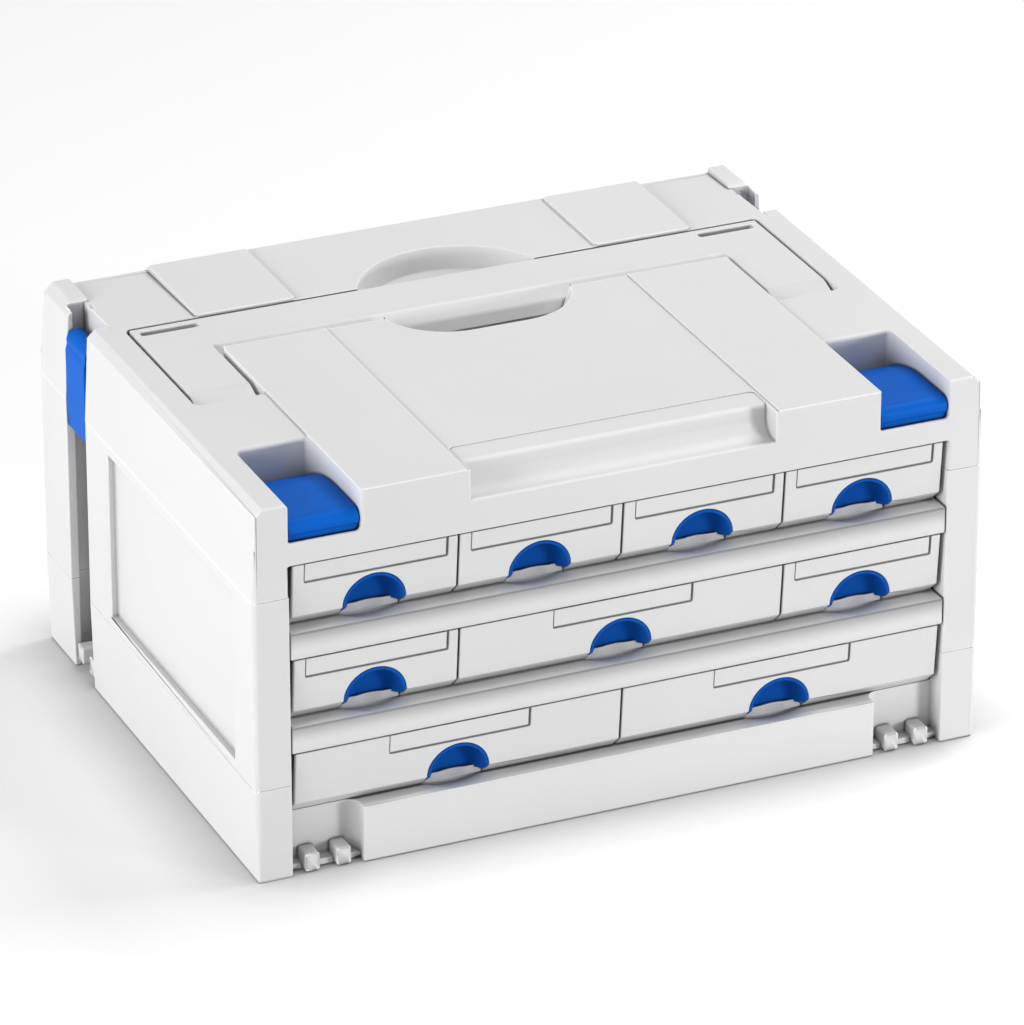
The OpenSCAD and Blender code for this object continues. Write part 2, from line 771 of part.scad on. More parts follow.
// A strip that lies along the top of the face, seen from the side
module label_section(grow, groove) {
    low = face_h - label_h - grow - groove;
    polygon([[face_y(low) - label_proud - grow, low], [face_y(low) - label_proud + label_t + grow, low],
        [face_top_y - label_proud + label_t + grow, face_h + grow],
        [face_top_y - label_proud - grow, face_h + grow]]);
}

module drawer_tray(k) {
    w = face_w(k) - 2 * tray_inset;
    rear_y = back_y - tray_back_inset;
    top_y = face_y(tray_h);
    foot_y = front_y + undercut_back;
    color("whitesmoke") translate([middle_of(k), 0, deck_of(row_of(k))]) difference() {
        union() {
            along_x(face_w(k)) front_section();
            difference() {
                along_x(w) polygon([[top_y + front_t / 2, tray_h], [face_foot_y + front_t / 2, face_foot],
                    [foot_y + front_t / 2, slide_fit], [rear_y, slide_fit], [rear_y, tray_h]]);
                along_x(w - 2 * tray_t) polygon([[top_y + front_t, tray_h + over],
                    [face_foot_y + front_t, face_foot + front_t / 2], [foot_y + front_t, slide_fit + tray_t],
                    [rear_y - tray_t, slide_fit + tray_t], [rear_y - tray_t, tray_h + over]]);
            }
            // Wall round the hollow below the pull
            intersection() {
                along_x(2 * cup_r + over) behind_face_section();
                translate([0, face_top_y, 0]) linear_extrude(cup_foot) cup_plan(cup_r, cup_depth + cup_t, 0);
            }
        }
        pull_seat();
        translate([0, face_top_y, -over]) linear_extrude(cup_foot + over)
            cup_plan(cup_r - cup_t, cup_depth, face_back + over);
        translate([label_groove / 2, 0, 0]) along_x(label_w + 2 * seat_fit + label_groove)
            label_section(seat_fit, label_groove);
    }
}

// Half of the pull's plan: radius and depth, for the hollow and for the outside of its shell
function cup_curve(flat, r, deep) = [for (i = [0 : CURVE])
    [flat + (r - flat) * cos(90 * i / CURVE), deep * sin(90 * i / CURVE)]];

module cup_half(flat, r, deep, ahead) {
    polygon(concat([[0, -ahead], [r, -ahead]], cup_curve(flat, r, deep), [[0, deep]]));
}

// A solid of revolution about the pull's axis above it, and the same outline drawn straight down below it
module cup_form(r, deep, ahead) {
    rotate([-90, 0, 0]) rotate_extrude() cup_half(cup_flat_r, r, deep, ahead);
    translate([0, 0, -cup_rise - over]) linear_extrude(cup_rise + over) cup_plan(r, deep, ahead);
}

module pull_cup(k) {
    color("royalblue") translate([middle_of(k), 0, deck_of(row_of(k))]) intersection() {
        along_x(2 * cup_r + over) behind_face_section();
        translate([0, face_top_y, cup_rise]) difference() {
            cup_form(cup_r, cup_depth + cup_t, face_back);
            cup_form(cup_r - cup_t, cup_depth, face_back + over);
        }
        slab([-cup_r - over, front_y, cup_foot], [cup_r + over, 0, face_h]);
    }
}

module label_strip(k) {
    color("white") translate([middle_of(k), 0, deck_of(row_of(k))]) along_x(label_w) label_section(0, 0);
}

// Plan of the handle: two arms and the grip bar
module handle_plan() {
    difference() {
        translate([-arm_out_x, handle_axis_y]) square([2 * arm_out_x, handle_back_y - handle_axis_y]);
        translate([-arm_in_x, handle_axis_y - over])
            square([2 * arm_in_x, bar_front_y - handle_axis_y + over]);
    }
}

module carry_handle() {
    low = handle_top_z - handle_t;
    color("gainsboro") difference() {
        union() {
            translate([0, 0, low]) linear_extrude(handle_t) handle_plan();
            both_sides() translate([arm_in_x + arm_w / 2, handle_axis_y, handle_axis_z]) rotate([0, 90, 0])
                cylinder(h = arm_w, r = handle_t / 2, center = true);
        }
        // Bevel along the front of the bar
        along_x(2 * arm_in_x) polygon([[bar_front_y - over, handle_top_z + over], [bar_front_y - over,
            handle_top_z - bar_bevel - over], [bar_front_y + bar_bevel + over, handle_top_z + over]]);
        // Slopes at the front ends of the arms
        both_sides() translate([arm_in_x + arm_w / 2, handle_front_y, handle_top_z])
            along_x(arm_w + 2 * over) polygon([[-over, -arm_slope_h], [arm_slope_d, 0],
                [arm_slope_d, over], [-over, over]]);
        both_sides() slab([middle_x, handle_back_y - slot_inset - slot_w, low - over],
            [middle_x + slot_l, handle_back_y - slot_inset, handle_top_z + over]);
        both_sides() handle_pin(pin_fit);
    }
}

// A front clip's plate from the side: flat near its axis, curving down to a hook at the free end
module front_clip_section() {
    flat_l = front_clip_l * 2 / 5;
    bend_l = front_clip_l - flat_l;
    r = (bend_l * bend_l + front_clip_drop * front_clip_drop) / (2 * front_clip_drop);
    turn = asin(bend_l / r);
    end_z = front_knuckle_r - front_clip_drop;
    polygon(concat([[0, front_knuckle_r], [flat_l, front_knuckle_r]],
        [for (i = [1 : CURVE]) [flat_l + r * sin(turn * i / CURVE),
            front_knuckle_r - r * (1 - cos(turn * i / CURVE))]],
        [[front_clip_l, end_z - hook_h], [front_clip_l - hook_t, end_z - hook_h]],
        [for (i = [CURVE - 1 : -1 : 1]) [flat_l + (r - clip_t) * sin(turn * i / CURVE),
            front_knuckle_r - r + (r - clip_t) * cos(turn * i / CURVE)]],
        [[flat_l, front_knuckle_r - clip_t], [0, front_knuckle_r - clip_t]]));
}

// A front clip's apron from the side: it closes the view below the knuckle
module front_clip_apron() {
    front = wall + slide_fit - front_axis_back;
    low = sill_z - front_axis_z - apron_h;
    polygon([[front, 0], [front, low], [front + apron_t, low], [front + apron_t, 0]]);
}

module front_clip() {
    color("royalblue") difference() {
        translate([clip_mid_x, front_axis_y, front_axis_z]) {
            along_x(front_clip_w) front_clip_section();
            along_x(front_clip_w) front_clip_apron();
            rotate([0, 90, 0]) cylinder(h = front_clip_w, r = front_knuckle_r, center = true);
        }
        front_clip_pin(pin_fit);
    }
}

// A side clip from the front: a plate that hangs from its axis, with a hook turned inwards
module side_clip_section() {
    out = side_axis_in - slide_fit;
    polygon([[side_knuckle_r * 3 / 4, side_knuckle_r / 2], [out, -side_knuckle_r],
        [out, -side_clip_l * 3 / 4], [out - hook_t / 4, -side_clip_l], [out - hook_h, -side_clip_l],
        [out - hook_h, hook_t - side_clip_l], [out - clip_t, hook_t - side_clip_l],
        [out - clip_t, -side_knuckle_r], [0, 0]]);
}

module side_clip() {
    color("dodgerblue") difference() {
        translate([side_axis_x, channel_mid_y, side_axis_z]) {
            along_y(side_clip_w) side_clip_section();
            rotate([90, 0, 0]) cylinder(h = side_clip_w, r = side_knuckle_r, center = true);
        }
        side_clip_pin(pin_fit);
    }
}

module clip_front_right() {
    front_clip();
}

module clip_front_left() {
    mirror([1, 0, 0]) front_clip();
}

module clip_side_right() {
    side_clip();
}

module clip_side_left() {
    mirror([1, 0, 0]) side_clip();
}

base_tray();
middle_frame();
top_cover();
shelf_top_row();
shelf_middle_row();
shelf_bottom_row();
divider(0, 1);  // divider_1
divider(0, 2);  // divider_2
divider(0, 3);  // divider_3
divider(1, 1);  // divider_4
divider(1, 2);  // divider_5
divider(2, 1);  // divider_6
case_screws();
handle_pins();
clip_pins();
carry_handle();
clip_front_left();
clip_front_right();
clip_side_left();
clip_side_right();
drawer_tray(0);  // drawer_tray_1
drawer_tray(1);  // drawer_tray_2
drawer_tray(2);  // drawer_tray_3
drawer_tray(3);  // drawer_tray_4
drawer_tray(4);  // drawer_tray_5
drawer_tray(5);  // drawer_tray_6
drawer_tray(6);  // drawer_tray_7
drawer_tray(7);  // drawer_tray_8
drawer_tray(8);  // drawer_tray_9
pull_cup(0);  // pull_cup_1
pull_cup(1);  // pull_cup_2
pull_cup(2);  // pull_cup_3
pull_cup(3);  // pull_cup_4
pull_cup(4);  // pull_cup_5
pull_cup(5);  // pull_cup_6
pull_cup(6);  // pull_cup_7
pull_cup(7);  // pull_cup_8
pull_cup(8);  // pull_cup_9
label_strip(0);  // label_strip_1
label_strip(1);  // label_strip_2
label_strip(2);  // label_strip_3
label_strip(3);  // label_strip_4
label_strip(4);  // label_strip_5
label_strip(5);  // label_strip_6
label_strip(6);  // label_strip_7
label_strip(7);  // label_strip_8
label_strip(8);  // label_strip_9
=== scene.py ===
import json
import math

import bmesh
import bpy
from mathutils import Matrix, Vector
from mathutils.bvhtree import BVHTree
from mathutils.geometry import intersect_line_line
from mathutils.kdtree import KDTree

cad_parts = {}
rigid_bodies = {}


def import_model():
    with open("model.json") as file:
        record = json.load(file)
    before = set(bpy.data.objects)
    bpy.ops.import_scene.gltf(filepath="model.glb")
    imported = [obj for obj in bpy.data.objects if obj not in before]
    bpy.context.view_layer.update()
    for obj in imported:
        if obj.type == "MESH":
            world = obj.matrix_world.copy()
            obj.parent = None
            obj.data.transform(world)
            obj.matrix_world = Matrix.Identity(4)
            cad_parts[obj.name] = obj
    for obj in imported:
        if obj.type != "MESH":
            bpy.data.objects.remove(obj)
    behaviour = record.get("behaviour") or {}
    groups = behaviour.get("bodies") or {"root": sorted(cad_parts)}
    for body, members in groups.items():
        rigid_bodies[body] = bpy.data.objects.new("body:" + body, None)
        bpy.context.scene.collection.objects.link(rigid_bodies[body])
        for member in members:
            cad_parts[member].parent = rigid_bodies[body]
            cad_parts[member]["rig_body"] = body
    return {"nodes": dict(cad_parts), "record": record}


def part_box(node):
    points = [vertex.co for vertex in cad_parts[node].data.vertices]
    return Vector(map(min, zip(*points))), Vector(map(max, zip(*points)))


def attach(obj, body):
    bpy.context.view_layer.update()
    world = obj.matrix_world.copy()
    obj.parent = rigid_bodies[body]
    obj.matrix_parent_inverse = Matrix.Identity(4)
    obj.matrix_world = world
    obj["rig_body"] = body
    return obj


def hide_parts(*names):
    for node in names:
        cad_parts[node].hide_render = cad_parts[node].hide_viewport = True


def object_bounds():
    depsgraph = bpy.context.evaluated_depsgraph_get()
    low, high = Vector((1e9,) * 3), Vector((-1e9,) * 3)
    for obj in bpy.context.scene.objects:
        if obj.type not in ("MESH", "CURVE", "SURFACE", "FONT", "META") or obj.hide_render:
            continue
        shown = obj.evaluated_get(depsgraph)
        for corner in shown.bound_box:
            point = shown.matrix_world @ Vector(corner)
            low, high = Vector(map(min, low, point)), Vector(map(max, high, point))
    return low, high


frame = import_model()
cad_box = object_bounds()

MM = 0.001
IMAGE_SIDE = 1025
WHITE = (1, 1, 1, 1)
# Corners this close are one, and squared lengths below TINY count as none
WELD = 0.002 * MM
TINY = 1e-18

# Camera, as fitted to the photograph
CAMERA_AZIMUTH = math.radians(-23.6468)
CAMERA_ELEVATION = math.radians(25.8386)
CAMERA_DISTANCE = 3.6715
CAMERA_TARGET = Vector((0.004155, 0.0, 0.09904))
FOCAL_PIXELS = 7135.7
SENSOR = 36.0
CLIP_END = 50

# Rounding of the moulded edges: as a rule, on chosen nodes, and along the joint lines of the storeys
EDGE_ROUND = 0.8 * MM
NODE_ROUND = {"top_cover": 2.4 * MM, "shelf_top_row": 1.5 * MM, "shelf_middle_row": 1.5 * MM,
              "carry_handle": 1.2 * MM}
SLOT_ROUND = {"label": 0.4 * MM}
SEAM_ROUND = 0.4 * MM
# Narrower rounding beside the level strip between the slanting edge and the top
SLANT_ROUND = 0.6 * MM
# How a slanting face's normal points: least and most sideways, least upwards, most lengthwise
SLANT_SIDEWAYS = (0.35, 0.95)
SLANT_UP = 0.25
SLANT_ALONG = 0.2
# Rounding of curved outlines, which are drawn as chords up to this length
CURVE_ROUND = 0.5 * MM
CHORD = 9 * MM
CHORD_TURN = math.cos(math.radians(30))
ON_SEAM = 0.01 * MM
EDGE_SEGMENTS = 3
SHARP_ANGLE = math.radians(28)
FLAT_ANGLE = math.radians(0.6)
RUN_ON = math.cos(math.radians(40))
ROUND_SHARE = 0.42
LEAST_ROUND = 0.06 * MM
# Faces narrower than this along their whole length are too slim to round an edge into
SLIM_FACE = 0.8 * MM
# A rounding further off the CAD surface than this share of its width has run wild, and is narrowed
WILD_SHARE = 0.6
WILD_LEAST = 0.1 * MM
WILD_ROUNDS = 8
WILD_NARROWING = 0.5

# Finger pull: an arch turned about an axis above its deck, with an elliptic hollow behind the drawer's face
PULL_R = 16.7 * MM
PULL_RISE = 6.7 * MM
PULL_FOOT = 4.2 * MM
PULL_DEPTH = 12 * MM
PULL_FLAT_R = 6 * MM
PULL_WALL = 1.6 * MM
PULL_RIM = 0.45 * MM
PULL_TURNS = 40
PULL_ROWS = 12
PULL_SIDE_ROWS = 4
# White wall that carries the hollow on below the blue arch, down to the drawer's floor
HOLLOW_BOTTOM = 0.9 * MM
HOLLOW_TOP = 5.2 * MM
HOLLOW_DEPTH = 10.6 * MM
HOLLOW_WALL = 0.9 * MM
HOLLOW_TURNS = 32
RIM_STEPS = 3
# The drawer's face from the side: height above the deck, and distance behind the front of the case
FACE_LINE = ((0.3 * MM, 11.2 * MM), (7.4 * MM, 3.6 * MM), (36.2 * MM, 1 * MM))

# Plastics, as linear colours
SHELL = (0.76, 0.76, 0.765)
DRAWER = (0.76, 0.76, 0.765)
DECK = (0.75, 0.75, 0.755)
BLUE_PULL = (0.003, 0.095, 0.46)
BLUE_CLIP = (0.003, 0.125, 0.60)
STEEL = (0.55, 0.55, 0.56)
STEEL_SHADE = 0.85
STEEL_LINES = 900
STEEL_DETAIL = 2
STEEL_GLOSS = (0.25, 0.45)

# Moulded plastic: slow clouds of tone and gloss, fine pebbles
PLASTIC_IOR = 1.48
CLOUD_SCALE = 9
CLOUD_DETAIL = 4
CLOUD_ENDS = (0.3, 0.7)
GLOSS_SPREAD = (-0.05, 0.07)
PEBBLE_SCALE = 1500
PEBBLE_DETAIL = 3
PEBBLE_DEPTH = 0.06 * MM

# Painted shade in crevices: how near the walls are that close one, and the share of the colour left where it
# is closed
CREVICE_REACH = 30 * MM
CREVICE_CLOSED = 0.15
CREVICE_SHADE = {"shell": 0.66, "drawer": 0.5, "deck": 1.0, "blue": 0.6}
CREVICE_SAMPLES = 8
# The same painted shade for narrow joints, such as the lines between the storeys and round the labels
JOINT_REACH = 1.6 * MM
JOINT_CLOSED = 0.5
JOINT_OPEN = 0.97
JOINT_SHADE = {"shell": 0.25, "drawer": 0.6, "deck": 0.6, "blue": 0.5}
# Painted highlight on outer edges: how near an edge they are lighter, and the lighter colour
EDGE_REACH = 1.0 * MM
EDGE_SEEN = (0.95, 0.6)
EDGE_HIGHLIGHT_TONE = (0.97, 0.97, 0.97, 1)
# The painted highlight lightens edges only where nothing near closes them in, from this share of openness up
EDGE_CLEAR = 0.95

# Studio: strength of the world, half the floor's width, how much brighter the camera sees the floor
AMBIENT = 0.28
FLOOR_HALF = 6.0
FLOOR_GLOW = 0.36
FLOOR_COLOUR = (0.66, 0.66, 0.66, 1)
FLOOR_ROUGHNESS = 0.9
# Painted contact shadow: the glow fades beside the case; how near its walls are that dim it, and the shares
# seen open and closed
CONTACT_SHADOW_REACH = 45 * MM
CONTACT_SHADOW_SEEN = (0.5, 0.98)
# Lamps: power in watts, side in metres, azimuth and elevation in degrees
LAMPS = {"left": (48, 1.2, -80, 15), "right_front": (30, 0.5, 36, 4), "above": (42, 1.3, 95, 58)}
LAMP_DISTANCE = 2.6


def new_material(name):
    """A material with its nodes, its links and its shader."""
    material = bpy.data.materials.new(name)
    material.use_nodes = True
    nodes = material.node_tree.nodes
    return material, nodes, material.node_tree.links, nodes["Principled BSDF"]


def combined(nodes, links, operation, first, second):
    """The output of one sum on two outputs."""
    node = nodes.new("ShaderNodeMath")
    node.operation = operation
    links.new(first, node.inputs[0])
    links.new(second, node.inputs[1])
    return node.outputs[0]


def noise(nodes, links, place, scale, detail):
    """The output of a noise in the object's own coordinates."""
    cloud = nodes.new("ShaderNodeTexNoise")
    cloud.inputs["Scale"].default_value = scale
    cloud.inputs["Detail"].default_value = detail
    links.new(place.outputs["Object"], cloud.inputs["Vector"])
    return cloud.outputs["Fac"]


def spread(nodes, links, value, low, high):
    """The output that runs from low to high as value runs from 0 to 1."""
    scaled = nodes.new("ShaderNodeMapRange")
    scaled.inputs["To Min"].default_value = low
    scaled.inputs["To Max"].default_value = high
    links.new(value, scaled.inputs["Value"])
    return scaled.outputs["Result"]


def openness(nodes, links, reach, own_only, seen, shade, inward=False):
    """A painted light or shade factor from ambient occlusion: 1 on open surfaces, down to shade where walls
    within reach close a place in.
    """
    around = nodes.new("ShaderNodeAmbientOcclusion")
    around.inside = inward
    around.samples = CREVICE_SAMPLES
    around.only_local = own_only
    around.inputs["Distance"].default_value = reach
    share = nodes.new("ShaderNodeMapRange")
    share.inputs["From Min"].default_value, share.inputs["From Max"].default_value = seen
    share.inputs["To Min"].default_value = shade
    links.new(around.outputs["AO"], share.inputs["Value"])
    return share.outputs["Result"]


def moulded(name, kind, colour, roughness=0.48, grain=0.35, mottle=0.02, sheen=0.3):
    """Moulded plastic: a fine pebbled grain, a slow change of tone and of gloss, painted shade in its
    crevices and joints, and on the shell a painted highlight on outer edges.
    """
    material, nodes, links, shader = new_material(name)
    shader.inputs["IOR"].default_value = PLASTIC_IOR
    shader.inputs["Specular IOR Level"].default_value = sheen
    place = nodes.new("ShaderNodeTexCoord")

    cloud = noise(nodes, links, place, CLOUD_SCALE, CLOUD_DETAIL)
    tone = nodes.new("ShaderNodeValToRGB")
    low, high = tone.color_ramp.elements
    low.position, high.position = CLOUD_ENDS
    low.color = [c * (1 - mottle) for c in colour] + [1]
    high.color = [min(1, c * (1 + mottle)) for c in colour] + [1]
    links.new(cloud, tone.inputs["Fac"])
    seen_tone = tone.outputs["Color"]
    # Painted shade: ambient occlusion darkens the colour where walls close a crevice in
    crevice_painted_shade = openness(nodes, links, CREVICE_REACH, kind == "shell", (CREVICE_CLOSED, 1), CREVICE_SHADE[kind])
    # Painted shade in narrow joints, such as the seams between the storeys and the grooves round the labels
    joint_painted_shade = openness(nodes, links, JOINT_REACH, False, (JOINT_CLOSED, JOINT_OPEN), JOINT_SHADE[kind])
    # Painted highlight: on the shell and handle, the outer edges are lightened, except in narrow joints
    if kind == "shell":
        edge = openness(nodes, links, EDGE_REACH, True, EDGE_SEEN, 0, inward=True)
        clear = nodes.new("ShaderNodeMapRange")
        clear.inputs["From Min"].default_value = EDGE_CLEAR
        links.new(joint_painted_shade, clear.inputs["Value"])
        edge_painted_highlight = nodes.new("ShaderNodeMixRGB")
        edge_painted_highlight.inputs["Color2"].default_value = EDGE_HIGHLIGHT_TONE
        links.new(combined(nodes, links, "MULTIPLY", edge, clear.outputs["Result"]), edge_painted_highlight.inputs["Fac"])
        links.new(seen_tone, edge_painted_highlight.inputs["Color1"])
        seen_tone = edge_painted_highlight.outputs["Color"]
    # The painted crevice shade and joint shade scale the colour down
    painted_shade_scale = nodes.new("ShaderNodeVectorMath")
    painted_shade_scale.operation = "SCALE"
    links.new(seen_tone, painted_shade_scale.inputs[0])
    links.new(combined(nodes, links, "MULTIPLY", crevice_painted_shade, joint_painted_shade), painted_shade_scale.inputs["Scale"])
    links.new(painted_shade_scale.outputs["Vector"], shader.inputs["Base Color"])

    gloss = spread(nodes, links, cloud, *(roughness + change for change in GLOSS_SPREAD))
    links.new(gloss, shader.inputs["Roughness"])

    bump = nodes.new("ShaderNodeBump")
    bump.inputs["Strength"].default_value = grain
    bump.inputs["Distance"].default_value = PEBBLE_DEPTH
    links.new(noise(nodes, links, place, PEBBLE_SCALE, PEBBLE_DETAIL), bump.inputs["Height"])
    links.new(bump.outputs["Normal"], shader.inputs["Normal"])
    return material


def drawn_steel(name):
    """Steel wire with a fine grain of tone and of gloss."""
    material, nodes, links, shader = new_material(name)
    shader.inputs["Metallic"].default_value = 1.0
    lines = noise(nodes, links, nodes.new("ShaderNodeTexCoord"), STEEL_LINES, STEEL_DETAIL)
    tone = nodes.new("ShaderNodeValToRGB")
    low, high = tone.color_ramp.elements
    low.color = [c * STEEL_SHADE for c in STEEL] + [1]
    high.color = list(STEEL) + [1]
    links.new(lines, tone.inputs["Fac"])
    links.new(tone.outputs["Color"], shader.inputs["Base Color"])
    links.new(spread(nodes, links, lines, *STEEL_GLOSS), shader.inputs["Roughness"])
    return material


MATERIALS = {
    "shell": moulded("shell_plastic", "shell", SHELL),
    "deck": moulded("deck_plastic", "deck", DECK, 0.50),
    "drawer": moulded("drawer_plastic", "drawer", DRAWER, 0.46),
    "label": moulded("label_plastic", "drawer", DRAWER, 0.44),
    "handle": moulded("handle_plastic", "shell", SHELL, 0.44),
    "pull": moulded("pull_plastic", "blue", BLUE_PULL, 0.42, 0.2, 0.05, 0.05),
    "clip": moulded("clip_plastic", "blue", BLUE_CLIP, 0.42, 0.2, 0.05, 0.05),
    "steel": drawn_steel("pin_steel"),
}


def sharp_edges(mesh):
    """Edges where two faces meet at a plain angle."""
    return [e for e in mesh.edges if len(e.link_faces) == 2 and e.calc_face_angle(0) > SHARP_ANGLE]


def segment_gap(a, b):
    """Least distance between two edges."""
    p1, p2 = (v.co for v in a.verts)
    q1, q2 = (v.co for v in b.verts)
    near = intersect_line_line(p1, p2, q1, q2)
    gaps = []
    if near:
        s = (near[0] - p1).dot(p2 - p1) / max((p2 - p1).length_squared, TINY)
        t = (near[1] - q1).dot(q2 - q1) / max((q2 - q1).length_squared, TINY)
        if 0 <= s <= 1 and 0 <= t <= 1:
            gaps.append((near[0] - near[1]).length)
    for point, (r1, r2) in ((p1, (q1, q2)), (p2, (q1, q2)), (q1, (p1, p2)), (q2, (p1, p2))):
        along = r2 - r1
        s = max(0.0, min(1.0, (point - r1).dot(along) / max(along.length_squared, TINY)))
        gaps.append((point - r1 - along * s).length)
    return min(gaps)


def room_beside(edge, levels):
    """How wide the faces on both sides of an edge are, at their narrowest, beside it."""
    room = 1.0
    ends = set(edge.verts)
    for face in edge.link_faces:
        if on_seam(face, levels):
            continue
        for other in face.edges:
            if other is edge:
                continue
            shared = ends & set(other.verts)
            if not shared:
                room = min(room, segment_gap(edge, other))
                continue
            corner = shared.pop()
            out = (other.other_vert(corner).co - corner.co).normalized()
            back = (edge.other_vert(corner).co - corner.co).normalized()
            turn = out.dot(back)
            if turn > -RUN_ON:
                room = min(room, other.calc_length() * math.sqrt(max(0.0, 1 - turn * turn)))
    return room


def on_seam(shape, levels):
    """Whether an edge or a face lies in one of the level planes where the storeys meet."""
    return any(all(abs(v.co.z - level) < ON_SEAM for v in shape.verts) for level in levels)


def wild_corners(piece, surface, corners, reach):
    """Corners of the plain mesh where the rounded mesh runs further off its surface than reach."""
    rounded = piece.evaluated_get(bpy.context.evaluated_depsgraph_get())
    mesh = rounded.to_mesh()
    far = {v.index for v in mesh.vertices if surface.find_nearest(v.co)[3] > reach}
    found = set()
    for edge in mesh.edges:
        a, b = edge.vertices
        if (a in far) != (b in far):
            found.add(corners.find(mesh.vertices[b if a in far else a].co)[1])
    rounded.to_mesh_clear()
    return found


def tame(piece, width):
    """Narrows the roundings that run wild at corners where many edges meet."""
    mesh = piece.data
    surface = BVHTree.FromPolygons([v.co for v in mesh.vertices], [p.vertices for p in mesh.polygons])
    weights = mesh.attributes["bevel_weight_edge"].data
    rounded_ends = {v for e in mesh.edges if weights[e.index].value > 0 for v in e.vertices}
    if not rounded_ends:
        return
    corners = KDTree(len(rounded_ends))
    for index in rounded_ends:
        corners.insert(mesh.vertices[index].co, index)
    corners.balance()
    for _ in range(WILD_ROUNDS):
        wild = wild_corners(piece, surface, corners, WILD_SHARE * width + WILD_LEAST)
        if not wild:
            return
        for edge in mesh.edges:
            if wild & set(edge.vertices):
                weights[edge.index].value *= WILD_NARROWING
        mesh.update()
    print("still wild:", piece.name, len(wild))


def slim(face):
    """Whether a face is a sliver, such as the ones that close a rounded corner under a sloping side."""
    longest = max(e.calc_length() for e in face.edges)
    return 2 * face.calc_area() < SLIM_FACE * longest


def on_curve(edge):
    """Whether an edge is one of the short chords of a curved outline."""
    if edge.calc_length() > CHORD:
        return False
    for corner in edge.verts:
        for other in corner.link_edges:
            if other is edge or other.calc_length() > CHORD or other.calc_face_angle(0) < SHARP_ANGLE:
                continue
            out = (other.other_vert(corner).co - corner.co).normalized()
            back = (edge.other_vert(corner).co - corner.co).normalized()
            if out.dot(back) < -CHORD_TURN:
                return True
    return False


def beside_slant(edge):
    """Whether an edge borders one of the long slanting faces along the upper side edges."""
    least, most = SLANT_SIDEWAYS
    return any(least < abs(f.normal.x) < most and f.normal.z > SLANT_UP and abs(f.normal.y) < SLANT_ALONG
               for f in edge.link_faces)


def put_in_scene(name, shape):
    """Turns a mesh being edited into a piece of the scene."""
    mesh = bpy.data.meshes.new(name)
    shape.to_mesh(mesh)
    shape.free()
    piece = bpy.data.objects.new(name, mesh)
    bpy.context.scene.collection.objects.link(piece)
    return piece


def skin(node, slot, levels):
    """A copy of a CAD node whose edges are rounded, as wide as the faces beside each edge allow."""
    source = frame["nodes"][node]
    width = NODE_ROUND.get(node, SLOT_ROUND.get(slot, EDGE_ROUND))
    shape = bmesh.new()
    shape.from_mesh(source.data)
    bmesh.ops.remove_doubles(shape, verts=shape.verts, dist=WELD)
    bmesh.ops.dissolve_limit(shape, angle_limit=FLAT_ANGLE, verts=shape.verts, edges=shape.edges)
    bmesh.ops.connect_verts_concave(shape, faces=[f for f in shape.faces if on_seam(f, levels)])
    weights = shape.edges.layers.float.new("bevel_weight_edge")
    for edge in sharp_edges(shape):
        widest = width
        if on_seam(edge, levels):
            widest = SEAM_ROUND
        elif beside_slant(edge):
            widest = SLANT_ROUND
        elif on_curve(edge):
            widest = min(width, CURVE_ROUND)
        fit = min(widest, ROUND_SHARE * room_beside(edge, levels))
        beside_slim = any(slim(f) for f in edge.link_faces)
        if fit > LEAST_ROUND and not beside_slim:
            edge[weights] = fit / width
        elif beside_slim or edge.calc_length() > CHORD:
            edge.smooth = False
    for face in shape.faces:
        face.smooth = True
    piece = put_in_scene("skin_" + node, shape)
    rounding = piece.modifiers.new("rounded edges", "BEVEL")
    rounding.limit_method = "WEIGHT"
    rounding.width = width
    rounding.segments = EDGE_SEGMENTS
    rounding.use_clamp_overlap = False
    rounding.harden_normals = False
    rounding.miter_outer = "MITER_ARC"
    shading = piece.modifiers.new("face weighted", "WEIGHTED_NORMAL")
    shading.keep_sharp = True
    tame(piece, width)
    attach(piece, source["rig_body"])
    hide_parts(node)
    return piece


def face_back(height):
    """How far the drawer's face lies behind the front of the case, at a height above the deck."""
    low, middle, high = FACE_LINE
    a, b = (low, middle) if height < middle[0] else (middle, high)
    return a[1] + (b[1] - a[1]) * (height - a[0]) / (b[0] - a[0])


def arch(radius):
    """Points of the pull's arch as x and height above the deck: up the left side, over, and down."""
    rise = [PULL_FOOT + (PULL_RISE - PULL_FOOT) * i / PULL_SIDE_ROWS for i in range(PULL_SIDE_ROWS)]
    left = [(-radius, h) for h in rise]
    over = []
    for i in range(PULL_TURNS + 1):
        turn = math.pi * (1 - i / PULL_TURNS)
        over.append((radius * math.cos(turn), PULL_RISE + radius * math.sin(turn)))
    return left + over + [(-x, h) for x, h in reversed(left)]


